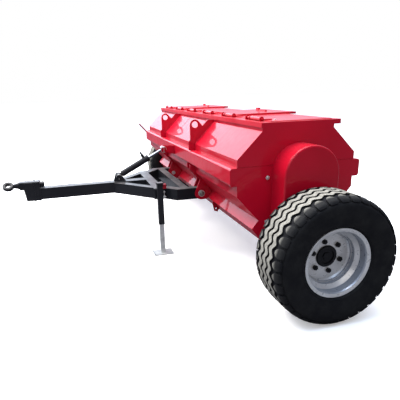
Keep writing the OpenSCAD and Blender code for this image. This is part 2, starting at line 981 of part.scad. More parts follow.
module jack_leg() {
    color("#c9c9c4")
        at_axle()
            translate([jack_x - leg_w / 2, jack_y - leg_w / 2, 8])
                difference() {
                    cube([leg_w, leg_w, 394]);
                    translate([5, 5, 20])
                        cube([leg_w - 10, leg_w - 10, 400]);
                }
}

module jack_foot() {
    color("#b9bcc0")
        at_axle()
            translate([jack_x, jack_y, 0]) {
                translate([-foot_l / 2, -foot_w / 2, 0])
                    cube([foot_l, foot_w, 8]);
                translate([foot_l / 2 - 8, -foot_w / 2, 0])
                    cube([8, foot_w, 22]);
            }
}

// Wheels, drawn as radius and offset from the wheel's middle plane
module turned(y) {
    translate([axle_x, y, tyre_r])
        rotate([-90, 0, 0])
            rotate_extrude($fn = 72)
                children();
}

module tyre_section() {
    h = tyre_w / 2;
    r = tyre_r;
    half = [[rim_r - 13, h - 49], [rim_r + 1, h - 36], [rim_r + 7, h - 26], [rim_r + 44, h - 9],
            [rim_r + 99, h], [r - 50, h - 5], [r - 20, h - 19], [r - 5, h - 47], [r, h - 97]];
    core = [[rim_r - 13, h - 67], [rim_r + 14, h - 52], [rim_r + 64, h - 29], [r - 85, h - 27],
            [r - 40, h - 37], [r - 25, h - 77], [r - 22, h - 127]];
    polygon(concat(half, [for (i = [len(half) - 1:-1:0]) [half[i][0], -half[i][1]]],
                   [for (p = core) [p[0], -p[1]]],
                   [for (i = [len(core) - 1:-1:0]) core[i]]));
}

module rim_section() {
    w = rim_hw;
    a = rim_r - 13;
    half = [[rim_r, w], [rim_r, w - 8], [a, w - 8], [a, w - 62], [rim_well + 10, w - 84]];
    core = [[rim_r - 7, w], [a - 9, w - 6], [a - 14, w - 15], [a - 14, w - 68], [rim_well, w - 88]];
    polygon(concat(half, [for (i = [len(half) - 1:-1:0]) [half[i][0], -half[i][1]]],
                   [for (p = core) [p[0], -p[1]]],
                   [for (i = [len(core) - 1:-1:0]) core[i]]));
}

module disc_section() {
    r = rim_well + 4;
    t = disc_t;
    polygon([[hub_r, 0], [r - 14, 0], [r - 3, 7], [r, 18], [r, 32], [r - 9, 32], [r - 11, 22],
             [r - 20, t], [hub_r, t]]);
}

module at_studs(y) {
    for (i = [0:5])
        translate([axle_x, y, tyre_r])
            rotate([0, i * 60 + stud_turn, 0])
                children();
}

module rim(y) {
    difference() {
        union() {
            turned(y)
                rim_section();
            turned(y)
                disc_section();
        }
        at_studs(y)
            bar_y(stud_pcd / 2, 0, -2, disc_t + 4, stud_r + 0.5);
    }
}

// Hub with its flange behind the disc, and the black cap with a recess in front
module hub(y) {
    face = disc_t + 0.5;
    difference() {
        turned(y)
            polygon([[0, -75], [hub_r, -75], [hub_r, -14], [hub_r + 70, -14], [hub_r + 70, 0],
                     [hub_r, 0], [hub_r, face], [cap_r, face], [cap_r, face + cap_h - 5],
                     [cap_r - 5, face + cap_h], [cap_r - 22, face + cap_h], [cap_r - 24, face + cap_h - cap_in],
                     [0, face + cap_h - cap_in]]);
        bar_y(axle_x, tyre_r, y - 80, 80 + axle_end + 4, axle_r + run);
    }
    translate([axle_x, y + face + cap_h - cap_in - 1, tyre_r])
        rotate([-90, 0, 0])
            cylinder(h = cap_in - 1, r = axle_r - 8, $fn = 6);
    at_studs(y) {
        bar_y(stud_pcd / 2, 0, -4, disc_t + 26, stud_r);
        translate([stud_pcd / 2, disc_t, 0])
            rotate([-90, 0, 0])
                cylinder(h = 16, r = 17, $fn = 6);
    }
}

module tyre_left() {
    color("#161616")
        turned(wheel_y)
            tyre_section();
}

module rim_left() {
    color("#b4b6ba")
        rim(wheel_y);
}

module hub_left() {
    color("#151517")
        hub(wheel_y);
}

module tyre_right() {
    color("#161616")
        mirror([0, 1, 0])
            turned(wheel_y)
                tyre_section();
}

module rim_right() {
    color("#b4b6ba")
        mirror([0, 1, 0])
            rim(wheel_y);
}

module hub_right() {
    color("#151517")
        mirror([0, 1, 0])
            hub(wheel_y);
}

front_wall();
rear_wall();
end_plate_left();
end_plate_right();
top_deck();
front_beam();
rear_beam();
dosing_trough();
shutter_slide();
slide_hangers();
lifting_ribs();
drawbar_lugs();
drawbar_pins();
cylinder_bracket();
drive_guard_left();
drive_guard_right();
stub_axle_left();
stub_axle_right();
metering_lever();
lid_hinges();
agitator();
tongue();
front_cross_beam();
drawbar_legs();
side_rails();
rear_cross_tube();
hitch_head();
cylinder_base();
jack_tube();
jack_gear();
towing_eye();
jack_leg();
jack_foot();
cylinder_barrel();
cylinder_rod();
lid_left();
lid_right();
tyre_left();
rim_left();
hub_left();
tyre_right();
rim_right();
hub_right();
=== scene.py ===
import json
import math

import bmesh
import bpy
from mathutils import Matrix, Vector


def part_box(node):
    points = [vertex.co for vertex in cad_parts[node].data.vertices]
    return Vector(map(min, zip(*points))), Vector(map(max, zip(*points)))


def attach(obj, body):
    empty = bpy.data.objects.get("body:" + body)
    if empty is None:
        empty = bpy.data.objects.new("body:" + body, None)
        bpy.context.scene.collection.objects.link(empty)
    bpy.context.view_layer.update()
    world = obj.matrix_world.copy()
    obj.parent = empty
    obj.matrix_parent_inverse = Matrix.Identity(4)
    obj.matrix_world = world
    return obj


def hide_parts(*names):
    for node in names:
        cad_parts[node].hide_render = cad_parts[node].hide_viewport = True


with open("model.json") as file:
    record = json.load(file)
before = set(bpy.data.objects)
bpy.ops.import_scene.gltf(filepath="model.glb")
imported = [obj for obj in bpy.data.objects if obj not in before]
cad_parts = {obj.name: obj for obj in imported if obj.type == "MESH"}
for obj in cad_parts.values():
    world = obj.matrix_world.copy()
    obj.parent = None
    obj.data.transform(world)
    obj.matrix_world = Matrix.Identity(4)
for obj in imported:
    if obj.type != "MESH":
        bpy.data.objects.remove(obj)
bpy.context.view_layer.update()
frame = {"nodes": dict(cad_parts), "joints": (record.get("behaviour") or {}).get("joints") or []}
nodes = frame["nodes"]
print("frame loaded,", len(nodes), "nodes")

# camera, at the photograph's place

viewSettings = {
    "place": (0.64061, 4.17813, 1.45665),
    "yaw": -104.9429, "pitch": -18.3588, "roll": -1.8754,
    "lens": 37.858, "sensor": 36, "shift": (0.0248, 0.0741), "reach": 200,
}


def setCamera():
    yaw, pitch, roll = [math.radians(viewSettings[k]) for k in ("yaw", "pitch", "roll")]
    level = math.cos(pitch)
    forward = Vector((math.cos(yaw) * level, math.sin(yaw) * level, math.sin(pitch)))
    right = forward.cross(Vector((0, 0, 1))).normalized()
    up = right.cross(forward)
    rightTurned = right * math.cos(roll) + up * math.sin(roll)
    upTurned = up * math.cos(roll) - right * math.sin(roll)
    turn = Matrix((rightTurned, upTurned, -forward)).transposed()
    bpy.ops.object.camera_add()
    camera = bpy.context.object
    camera.name = "photoCamera"
    camera.matrix_world = Matrix.Translation(viewSettings["place"]) @ turn.to_4x4()
    camera.data.lens = viewSettings["lens"]
    camera.data.sensor_width = viewSettings["sensor"]
    camera.data.shift_x, camera.data.shift_y = viewSettings["shift"]
    camera.data.clip_end = viewSettings["reach"]
    bpy.context.scene.camera = camera


setCamera()
print("camera set")

# pale floor and soft light

studioSettings = {
    "floorSize": 160.0, "floorDrop": 0.0005, "floorRough": 0.9,
    "floorTone": (0.95, 0.92, 0.87), "floorBounce": (0.2, 0.2, 0.21), "floorGlow": 0.3,
    "backdrop": (1.0, 1.0, 1.0),
    "skyDark": (0.25, 0.25, 0.30), "skyBright": (1.36, 1.54, 1.95),  # brightest behind the machine
    "skyTowards": (0.12, -0.6, 0.78), "skyFrom": 0.0, "skyTo": 0.95,
    "skyRise": (0.0, 0.24), "skyLowest": 0.08,
    "lampAim": (0, 0, 0.6),
    "lamps": {
        "topLight": {"place": (0.8, -0.6, 5.5), "size": (6.0, 7.0),
                     "power": 580.0, "tone": (1.0, 0.98, 0.97)},
        "frontSky": {"place": (0.6, 3.6, 6.2), "size": (5.0, 4.0),
                     "power": 150.0, "tone": (0.5, 0.72, 1.0)},
        "backBox": {"place": (1.9, -6.6, 3.4), "size": (7.0, 4.2),
                    "power": 265.0, "tone": (0.8, 0.88, 1.0)},
        "hitchLight": {"place": (3.0, -1.2, 6.6), "size": (3.0, 3.0),
                       "power": 360.0, "tone": (1.0, 0.98, 0.95)},
        "sideFill": {"place": (0.2, 7.5, 3.0), "size": (4.0, 3.0),
                     "power": 70.0, "tone": (1.0, 0.97, 0.95)},
    },
}


def colourSockets(sockets):
    return [k for k in sockets if k.type == "RGBA"]


def setFloor():
    s = studioSettings
    bpy.ops.object.select_all(action="DESELECT")
    bpy.ops.mesh.primitive_plane_add(size=s["floorSize"], location=(0, 0, -s["floorDrop"]))
    floor = bpy.context.object
    floor.name = "paleFloor"
    mat = bpy.data.materials.new("floorPaper")
    mat.use_nodes = True
    tree = mat.node_tree
    shader = tree.nodes["Principled BSDF"]
    shader.inputs["Roughness"].default_value = s["floorRough"]
    shader.inputs["Emission Color"].default_value = (1, 1, 1, 1)
    direct = tree.nodes.new("ShaderNodeLightPath").outputs["Is Camera Ray"]
    tone = tree.nodes.new("ShaderNodeMix")  # less light is thrown back up than shows
    tone.data_type = "RGBA"
    bounce, shown = colourSockets(tone.inputs)
    bounce.default_value = (*s["floorBounce"], 1)
    shown.default_value = (*s["floorTone"], 1)
    tree.links.new(direct, tone.inputs["Factor"])
    tree.links.new(colourSockets(tone.outputs)[0], shader.inputs["Base Color"])
    glow = tree.nodes.new("ShaderNodeMath")  # keeps the paper white behind the machine
    glow.operation = "MULTIPLY"
    glow.inputs[1].default_value = s["floorGlow"]
    tree.links.new(direct, glow.inputs[0])
    tree.links.new(glow.outputs[0], shader.inputs["Emission Strength"])
    floor.data.materials.append(mat)


def setSky():
    s = studioSettings
    world = bpy.data.worlds.new("softSky")
    world.use_nodes = True
    tree = world.node_tree
    sky = tree.nodes["Background"]
    where = tree.nodes.new("ShaderNodeTexCoord").outputs["Generated"]
    lean = tree.nodes.new("ShaderNodeVectorMath")
    lean.operation = "DOT_PRODUCT"
    lean.inputs[1].default_value = Vector(s["skyTowards"]).normalized()
    reach = tree.nodes.new("ShaderNodeMapRange")
    reach.interpolation_type = "SMOOTHSTEP"
    reach.inputs["From Min"].default_value = s["skyFrom"]
    reach.inputs["From Max"].default_value = s["skyTo"]
    tree.links.new(where, lean.inputs[0])
    tree.links.new(lean.outputs["Value"], reach.inputs["Value"])
    height = tree.nodes.new("ShaderNodeSeparateXYZ")  # the sky dims towards the ground
    rise = tree.nodes.new("ShaderNodeMapRange")
    rise.inputs["From Min"].default_value, rise.inputs["From Max"].default_value = s["skyRise"]
    rise.inputs["To Min"].default_value = s["skyLowest"]
    tree.links.new(where, height.inputs[0])
    tree.links.new(height.outputs["Z"], rise.inputs["Value"])
    dim = tree.nodes.new("ShaderNodeMath")
    dim.operation = "MULTIPLY"
    tree.links.new(reach.outputs["Result"], dim.inputs[0])
    tree.links.new(rise.outputs["Result"], dim.inputs[1])
    tint = tree.nodes.new("ShaderNodeMix")
    tint.data_type = "RGBA"
    tint.clamp_result = False
    dark, bright = colourSockets(tint.inputs)
    dark.default_value = (*s["skyDark"], 1)
    bright.default_value = (*s["skyBright"], 1)
    tree.links.new(dim.outputs[0], tint.inputs["Factor"])
    tree.links.new(colourSockets(tint.outputs)[0], sky.inputs["Color"])
    paper = tree.nodes.new("ShaderNodeBackground")  # what shows behind the floor
    paper.inputs["Color"].default_value = (*s["backdrop"], 1)
    seen = tree.nodes.new("ShaderNodeLightPath")
    either = tree.nodes.new("ShaderNodeMixShader")
    tree.links.new(seen.outputs["Is Camera Ray"], either.inputs[0])
    tree.links.new(sky.outputs[0], either.inputs[1])
    tree.links.new(paper.outputs[0], either.inputs[2])
    tree.links.new(either.outputs[0], tree.nodes["World Output"].inputs["Surface"])
    bpy.context.scene.world = world


def setLamps():
    for name, lamp in studioSettings["lamps"].items():
        bpy.ops.object.light_add(type="AREA", location=lamp["place"])
        light = bpy.context.object
        light.name = name
        light.data.shape = "RECTANGLE"
        light.data.size, light.data.size_y = lamp["size"]
        light.data.energy = lamp["power"]
        light.data.color = lamp["tone"]
        light.visible_camera = False
        aim = Vector(studioSettings["lampAim"]) - Vector(lamp["place"])
        light.rotation_euler = aim.to_track_quat("-Z", "Y").to_euler()
    bpy.context.scene.view_settings.view_transform = "Standard"


setFloor()
setSky()
setLamps()
print("studio set")

# finishes, all on object coordinates


class Finish:
    def __init__(self, name):
        self.mat = bpy.data.materials.new(name)
        self.mat.use_nodes = True
        self.tree = self.mat.node_tree
        self.shader = self.tree.nodes["Principled BSDF"]
        self.where = self.tree.nodes.new("ShaderNodeTexCoord").outputs["Object"]

    def plug(self, a, b):
        self.tree.links.new(a, b)

    def fixed(self, **sockets):  # numbers that are the same all over
        for key, value in sockets.items():
            self.shader.inputs[key.replace("_", " ")].default_value = value

    def noise(self, scale, detail=4.0, rough=0.55, stretch=None):
        tex = self.tree.nodes.new("ShaderNodeTexNoise")
        tex.inputs["Scale"].default_value = scale
        tex.inputs["Detail"].default_value = detail
        tex.inputs["Roughness"].default_value = rough
        source = self.where
        if stretch:
            mapping = self.tree.nodes.new("ShaderNodeMapping")
            mapping.inputs["Scale"].default_value = stretch
            self.plug(self.where, mapping.inputs["Vector"])
            source = mapping.outputs[0]
        self.plug(source, tex.inputs["Vector"])
        return tex.outputs["Fac"]

    def span(self, value, low, high, toLow=0.0, toHigh=1.0):
        node = self.tree.nodes.new("ShaderNodeMapRange")
        node.inputs["From Min"].default_value = low
        node.inputs["From Max"].default_value = high
        node.inputs["To Min"].default_value = toLow
        node.inputs["To Max"].default_value = toHigh
        self.plug(value, node.inputs["Value"])
        return node.outputs["Result"]

    def times(self, a, b):
        node = self.tree.nodes.new("ShaderNodeMath")
        node.operation = "MULTIPLY"
        self.plug(a, node.inputs[0])
        if isinstance(b, float):
            node.inputs[1].default_value = b
        else:
            self.plug(b, node.inputs[1])
        return node.outputs[0]

    def mix(self, factor, a, b):
        node = self.tree.nodes.new("ShaderNodeMix")
        node.data_type = "RGBA"
        self.plug(factor, node.inputs["Factor"])
        for slot, value in zip(colourSockets(node.inputs), (a, b)):
            if isinstance(value, tuple):
                slot.default_value = (*value, 1)
            else:
                self.plug(value, slot)
        return colourSockets(node.outputs)[0]

    def facing(self, axis):  # part of the surface's direction along one axis
        geo = self.tree.nodes.new("ShaderNodeNewGeometry")
        split = self.tree.nodes.new("ShaderNodeSeparateXYZ")
        self.plug(geo.outputs["Normal"], split.inputs[0])
        return split.outputs[axis]

    def fromMiddle(self, middle):  # distance from a wheel's middle plane
        split = self.tree.nodes.new("ShaderNodeSeparateXYZ")
        self.plug(self.where, split.inputs[0])
        value = split.outputs["Y"]
        for operation, number in (("ABSOLUTE", 0), ("SUBTRACT", middle), ("ABSOLUTE", 0)):
            node = self.tree.nodes.new("ShaderNodeMath")
            node.operation = operation
            node.inputs[1].default_value = number
            self.plug(value, node.inputs[0])
            value = node.outputs[0]
        return value

    def fromLine(self, centre):  # square to the axle line, as a vector
        shift = self.tree.nodes.new("ShaderNodeVectorMath")
        shift.operation = "SUBTRACT"
        shift.inputs[1].default_value = centre
        flat = self.tree.nodes.new("ShaderNodeVectorMath")
        flat.operation = "MULTIPLY"
        flat.inputs[1].default_value = (1, 0, 1)
        self.plug(self.where, shift.inputs[0])
        self.plug(shift.outputs[0], flat.inputs[0])
        return flat.outputs[0]

    def fromAxle(self, centre):  # distance from the wheels' axle line
        length = self.tree.nodes.new("ShaderNodeVectorMath")
        length.operation = "LENGTH"
        self.plug(self.fromLine(centre), length.inputs[0])
        return length.outputs["Value"]

    def outward(self, centre):  # how far the surface points away from the axle line
        surface = self.tree.nodes.new("ShaderNodeTexCoord").outputs["Normal"]
        unit = self.tree.nodes.new("ShaderNodeVectorMath")
        unit.operation = "NORMALIZE"
        dot = self.tree.nodes.new("ShaderNodeVectorMath")
        dot.operation = "DOT_PRODUCT"
        self.plug(self.fromLine(centre), unit.inputs[0])
        self.plug(unit.outputs[0], dot.inputs[0])
        self.plug(surface, dot.inputs[1])
        return dot.outputs["Value"]

    def colour(self, value):
        self.plug(value, self.shader.inputs["Base Color"])

    def gloss(self, grain, rough):  # roughness between two values
        self.plug(self.span(grain, 0.3, 0.7, *rough), self.shader.inputs["Roughness"])

    def bump(self, height, strength, distance):
        node = self.tree.nodes.new("ShaderNodeBump")
        node.inputs["Strength"].default_value = strength
        node.inputs["Distance"].default_value = distance
        self.plug(height, node.inputs["Height"])
        self.plug(node.outputs[0], self.shader.inputs["Normal"])


paintSettings = {
    "patchScale": 1.6, "patches": (0.35, 0.65), "upwards": (0.75, 1.0),
    "dustAndSheenScale": 9.0, "dustAndSheenSpread": (0.35, 0.75),
    "glossScale": 22.0, "gloss": (0.34, 0.46), "peelScale": 170.0, "peel": 0.03, "specular": 0.05,
}


def paintFinish(name, deep, bright, dustAndSheen, dustAndSheenRange, coat, coatRough):
    p = paintSettings
    f = Finish(name)
    tone = f.mix(f.span(f.noise(p["patchScale"], 3.0), *p["patches"]), deep, bright)
    upward = f.span(f.facing("Z"), *p["upwards"])
    dustAndSheenPatches = f.span(f.noise(p["dustAndSheenScale"], 9.0, 0.7), *p["dustAndSheenSpread"], *dustAndSheenRange)
    # upward faces are mixed towards a paler colour: dust, and a painted sheen standing in for sky light on
    # the tops
    f.colour(f.mix(f.times(upward, dustAndSheenPatches), tone, dustAndSheen))
    f.gloss(f.noise(p["glossScale"], 6.0), p["gloss"])
    f.bump(f.noise(p["peelScale"], 2.0), p["peel"], 0.001)  # orange peel
    f.fixed(Coat_Weight=coat, Coat_Roughness=coatRough, Specular_IOR_Level=p["specular"])
    return f.mat


wheelLow, wheelHigh = [Vector(v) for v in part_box("tyre_left")]
axle = (wheelLow + wheelHigh) / 2
tyreRadius = (wheelHigh.z - wheelLow.z) / 2
tyreHalf = (wheelHigh.y - wheelLow.y) / 2


rimSettings = {
    "deep": (0.50, 0.495, 0.48), "bright": (0.57, 0.565, 0.55), "patchScale": 9.0, "patches": (0.35, 0.65),
    "paintedShade": (0.13, 0.165, 0.24), "paintedShadeShare": 0.62, "paintedShadeFacing": (-0.72, -0.92),  # painted bluish shade on the barrel's steps that face the axle
    "grime": (0.16, 0.15, 0.15), "grimeShare": 0.2, "grimeScale": 26.0, "grimeSpread": (0.5, 0.8),
    "grimeFrom": (0.165, 0.185), "grimeTo": (0.225, 0.2),  # distances from the axle line
    "glossScale": 40.0, "gloss": (0.26, 0.32), "peelScale": 140.0, "peel": 0.03,
    "metal": 0.4, "coat": 0.3, "coatRough": 0.08,
}


def rimFinish():
    k = rimSettings
    f = Finish("rimSilver")
    out = f.fromAxle(axle)
    tone = f.mix(f.span(f.noise(k["patchScale"], 5.0), *k["patches"]), k["deep"], k["bright"])
    grime = f.times(f.span(f.noise(k["grimeScale"], 7.0, 0.7), *k["grimeSpread"]), k["grimeShare"])
    low = f.times(f.span(out, *k["grimeFrom"]), f.span(out, *k["grimeTo"]))
    # steps facing the axle are mixed towards a dark bluish colour: painted shade
    inwardShade = f.times(f.span(f.outward(axle), *k["paintedShadeFacing"]), k["paintedShadeShare"])
    tone = f.mix(inwardShade, tone, k["paintedShade"])
    f.colour(f.mix(f.times(low, grime), tone, k["grime"]))
    f.gloss(f.noise(k["glossScale"], 5.0), k["gloss"])
    f.bump(f.noise(k["peelScale"], 2.0), k["peel"], 0.001)
    f.fixed(Metallic=k["metal"], Coat_Weight=k["coat"], Coat_Roughness=k["coatRough"])
    return f.mat


rubberSettings = {
    "deep": (0.008, 0.008, 0.009), "bright": (0.014, 0.014, 0.014), "patchScale": 14.0, "patches": (0.4, 0.7),
    "grainScale": 60.0, "grainHigh": 0.15, "grainDeep": 0.002,
    "dustDeep": (0.20, 0.186, 0.152), "dustBright": (0.37, 0.348, 0.292),
    "dustFacing": (0.62, 0.9), "dustBelowTop": (0.03, 0.006),
    "lobeShadeAcross": (0.096, 0.13), "lobeShadeLeast": 0.04,
    "dustAndSheenScale": 11.0, "dustAndSheenSpread": (0.2, 0.5), "dustPatches": (0.7, 1.0),
    "gloss": (0.5, 0.75), "specular": 0.06,
}


def rubberFinish(name, dusty):
    k = rubberSettings
    f = Finish(name)
    grain = f.noise(k["grainScale"], 8.0, 0.7)
    wall = f.mix(f.span(f.noise(k["patchScale"], 6.0), *k["patches"]), k["deep"], k["bright"])
    if dusty:  # road dust on the faces that point away from the axle
        dustAndSheen = f.mix(f.span(grain, 0.35, 0.65), k["dustDeep"], k["dustBright"])
        below, above = [tyreRadius - d for d in k["dustBelowTop"]]
        top = f.times(f.span(f.outward(axle), *k["dustFacing"]), f.span(f.fromAxle(axle), below, above))
        # the dust fades out across the shoulder lobes, leaving them darker: painted shade
        top = f.times(top, f.span(f.fromMiddle(axle.y), *k["lobeShadeAcross"], 1.0, k["lobeShadeLeast"]))
        top = f.times(top, f.span(f.noise(k["dustAndSheenScale"], 4.0), *k["dustAndSheenSpread"], *k["dustPatches"]))
        wall = f.mix(top, wall, dustAndSheen)
    f.colour(wall)
    f.gloss(grain, k["gloss"])
    f.bump(grain, k["grainHigh"], k["grainDeep"])
    f.fixed(Specular_IOR_Level=k["specular"])
    return f.mat


def metalFinish(name, deep, bright, scale, rough, metal):
    f = Finish(name)
    f.colour(f.mix(f.span(f.noise(scale, 5.0), 0.35, 0.65), deep, bright))
    f.gloss(f.noise(scale * 2.3, 6.0, 0.6, (1, 1, 0.25)), rough)
    f.bump(f.noise(scale * 6, 3.0), 0.05, 0.001)
    f.fixed(Metallic=metal)
    return f.mat


# paints: deep and bright tone, dust and painted sheen with its least and most share, coat and its roughness
finishes = {
    "red_paint": paintFinish("redPaint", (0.40, 0.003, 0.014), (0.48, 0.004, 0.020),
                             (0.55, 0.2, 0.2), (0.0, 0.08), 0.38, 0.03),
    "dark_red_paint": paintFinish("darkRedPaint", (0.24, 0.002, 0.009), (0.30, 0.003, 0.012),
                                  (0.4, 0.2, 0.2), (0.0, 0.1), 0.5, 0.08),
    "black_paint": paintFinish("blackPaint", (0.010, 0.010, 0.012), (0.016, 0.016, 0.018),
                               (0.34, 0.32, 0.30), (0.05, 0.36), 0.12, 0.12),
    "rim_silver": rimFinish(),
    "hub_black": paintFinish("hubBlack", (0.003, 0.003, 0.004), (0.006, 0.006, 0.007),
                             (0.06, 0.055, 0.05), (0.0, 0.2), 0.2, 0.15),
    "tyre_rubber": rubberFinish("tyreRubber", False),
    "dusty_tread": rubberFinish("dustyTread", True),
    "zinc_steel": metalFinish("zincSteel", (0.46, 0.46, 0.44), (0.62, 0.62, 0.59), 24.0, (0.3, 0.5), 0.7),
    "bare_steel": metalFinish("bareSteel", (0.15, 0.145, 0.13), (0.26, 0.25, 0.23), 30.0, (0.3, 0.55), 0.85),
    # the chrome's base colour is darkened: painted shade standing in for dark surroundings in its reflection
    "chrome_rod": metalFinish("shadedChromeRod", (0.17, 0.18, 0.21), (0.24, 0.25, 0.28), 18.0, (0.06, 0.14), 1.0),
}

# a darker copy of the red paint for the hinges: painted shade, with little coat
shadedHingeRed = paintFinish("shadedHingeRed", (0.34, 0.003, 0.012), (0.42, 0.004, 0.017),
                       (0.4, 0.15, 0.15), (0.0, 0.1), 0.08, 0.2)
# a lighter copy of the red paint for the deck and lids, with a pink paler mix: painted sky reflection on
# these top faces
litDeckRed = paintFinish("litDeckRed", (0.50, 0.010, 0.022), (0.58, 0.014, 0.028),
                      (0.6, 0.3, 0.31), (0.05, 0.17), 0.55, 0.12)
# the lighter and darker copies of the red paint for the deck, lids and hinges
litAndShadedRed = {"lid_hinges": shadedHingeRed, "top_deck": litDeckRed, "lid_left": litDeckRed, "lid_right": litDeckRed}
for name, node in nodes.items():
    for s in node.material_slots:
        slotName = s.material.name.split(".")[0]
        s.material = litAndShadedRed[name] if name in litAndShadedRed and "red" in slotName else finishes[slotName]
print("finishes set")

# mesh helpers

mergeWithin = {"piece": 0.00005, "tread": 0.0002, "wall": 0.00002}


def deselectAll():
    if bpy.context.object and bpy.context.object.mode != "OBJECT":
        bpy.ops.object.mode_set(mode="OBJECT")
    bpy.ops.object.select_all(action="DESELECT")


def openMesh(obj):
    deselectAll()
    obj.select_set(True)
    bpy.context.view_layer.objects.active = obj
    bpy.ops.object.mode_set(mode="EDIT")
    bpy.ops.mesh.select_all(action="DESELECT")


def closeMesh():
    bpy.ops.object.mode_set(mode="OBJECT")


def pick(obj, kind, test):
    bpy.ops.mesh.select_mode(type=kind)
    shape = bmesh.from_edit_mesh(obj.data)
    for part in {"VERT": shape.verts, "EDGE": shape.edges, "FACE": shape.faces}[kind]:
        part.select_set(bool(test(part)))
    shape.select_flush_mode()
    bmesh.update_edit_mesh(obj.data)


def edgeAlong(axis):
    return lambda e: abs((e.verts[1].co - e.verts[0].co).normalized()[axis]) > 0.9


def faceTowards(axis, sign=0):
    return lambda f: (abs(f.normal[axis]) if sign == 0 else f.normal[axis] * sign) > 0.9


def newBox(size, place=(0, 0, 0)):
    deselectAll()
    bpy.ops.mesh.primitive_cube_add(size=1, location=place)
    obj = bpy.context.object
    obj.scale = size
    bpy.ops.object.transform_apply(location=True, rotation=True, scale=True)
    return obj


def newRod(radius, length, place=(0, 0, 0), sides=24):
    deselectAll()
    bpy.ops.mesh.primitive_cylinder_add(vertices=sides, radius=radius, depth=length, location=place)
    obj = bpy.context.object
    bpy.ops.object.transform_apply(location=True, rotation=True, scale=True)
    return obj


def joined(parts, name):
    deselectAll()
    for p in parts:
        p.select_set(True)
    bpy.context.view_layer.objects.active = parts[0]
    if len(parts) > 1:
        bpy.ops.object.join()
    obj = bpy.context.object
    obj.name = name
    return obj


def bevelled(obj, width, segments=2, angle=40):
    mod = obj.modifiers.new("edge", "BEVEL")
    mod.width = width
    mod.segments = segments
    mod.limit_method = "ANGLE"
    mod.angle_limit = math.radians(angle)
    deselectAll()
    obj.select_set(True)
    bpy.context.view_layer.objects.active = obj
    bpy.ops.object.modifier_apply(modifier=mod.name)


def copyTo(obj, name, move=(0, 0, 0), turn=None):
    twin = obj.copy()
    twin.data = obj.data.copy()
    twin.name = name
    bpy.context.collection.objects.link(twin)
    twin.data.transform(Matrix.Translation(move) @ (turn or Matrix()))
    return twin


def finishPiece(obj, body, slot, angle=35, dressed=False):
    openMesh(obj)
    bpy.ops.mesh.select_all(action="SELECT")
    bpy.ops.mesh.remove_doubles(threshold=mergeWithin["piece"])
    bpy.ops.mesh.normals_make_consistent(inside=False)
    closeMesh()
    bpy.ops.object.shade_smooth_by_angle(angle=math.radians(angle))
    if not dressed:
        obj.data.materials.clear()
        obj.data.materials.append(finishes[slot])
    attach(obj, body)


# tyres: carcass with a worn zigzag tread and scalloped shoulders

tyreSettings = {
    "wallRadius": 0.325, "roundness": 4.6,  # widest place of the wall and how square the crown is
    "waves": 34, "ribs": (-0.060, 0.0, 0.060), "ribWidth": 0.0395, "ribWave": 0.0135,
    "treadDepth": 0.012, "root": 0.006, "edge": 0.0022,
    "lobeStart": 0.102, "lobeEndRadius": 0.392, "lobeGap": 0.016, "lobeRound": 0.45, "lobeTail": 0.2,
    "lobeCurve": 2.6, "lobeLeast": 0.06, "lobeTaper": 0.25,
    "finLong": (0.66, 0.94), "finWide": 0.003, "finHigh": 0.008, "finSink": 0.001,  # between the lobes
    "wallDegrees": (0, 4, 8, 14, 20, 26, 32, 38, 44, 50, 56, 62, 68, 74, 80, 85, 88, 90),
    "treadFade": (56, 24),  # degrees where the tread's depth starts to run out, and for how many
    "turns": 108, "ribCuts": (7, 0), "lobeCuts": (5, 8), "finCuts": (1, 4),
    "edgeAngle": 50, "smoothAngle": 40,
    "wallLow": ((0.168, 0.270), (0.158, 0.246), (0.160, 0.242),
                (0.151, 0.233), (0.141, 0.227), (0.128, 0.2145)),
}


def crown(turn, lift):
    # 0 is the middle of the tread, a quarter turn the widest place of the wall
    half, low, power = tyreHalf, tyreSettings["wallRadius"], 2 / tyreSettings["roundness"]

    def at(t):
        t = max(-math.pi / 2, min(math.pi / 2, t))
        s, c = math.sin(t), math.cos(t)
        across = half * math.copysign(abs(s) ** power, s)
        return Vector((across, low + (tyreRadius - low) * max(c, 0) ** power))

    step = 0.002
    along = (at(turn + step) - at(turn - step)).normalized()
    return at(turn) + Vector((-along.y, along.x)) * lift


def turnAcross(across):
    share = min(1.0, abs(across) / tyreHalf) ** (tyreSettings["roundness"] / 2)
    return math.copysign(math.asin(share), across)


def onWheel(along, flat):
    angle = along / tyreRadius
    return Vector((axle.x + flat.y * math.sin(angle), axle.y + flat.x, axle.z + flat.y * math.cos(angle)))


def treadPart(size, cuts, keepEnds):
    part = newBox(size)
    openMesh(part)
    pick(part, "EDGE", edgeAlong(0))
    bpy.ops.mesh.subdivide(number_cuts=cuts[0])
    if cuts[1]:
        pick(part, "EDGE", edgeAlong(1))
        bpy.ops.mesh.subdivide(number_cuts=cuts[1])
    if not keepEnds:
        pick(part, "FACE", faceTowards(0))
        bpy.ops.mesh.delete(type="FACE")
    closeMesh()
    return part


def makeRib(middle, pitch):
    s = tyreSettings
    deep = s["treadDepth"] + s["root"]
    rib = treadPart((pitch, s["ribWidth"], deep), s["ribCuts"], False)
    for v in rib.data.vertices:
        wave = -s["ribWave"] * math.cos(2 * math.pi * v.co.x / pitch)
        turn = turnAcross(middle + v.co.y + wave)
        v.co = onWheel(v.co.x, crown(turn, v.co.z - deep / 2))
    return rib


def lobeTurns():
    s = tyreSettings
    start = turnAcross(s["lobeStart"])
    rise = (s["lobeEndRadius"] - s["wallRadius"]) / (tyreRadius - s["wallRadius"])
    return start, math.acos(rise ** (s["roundness"] / 2))


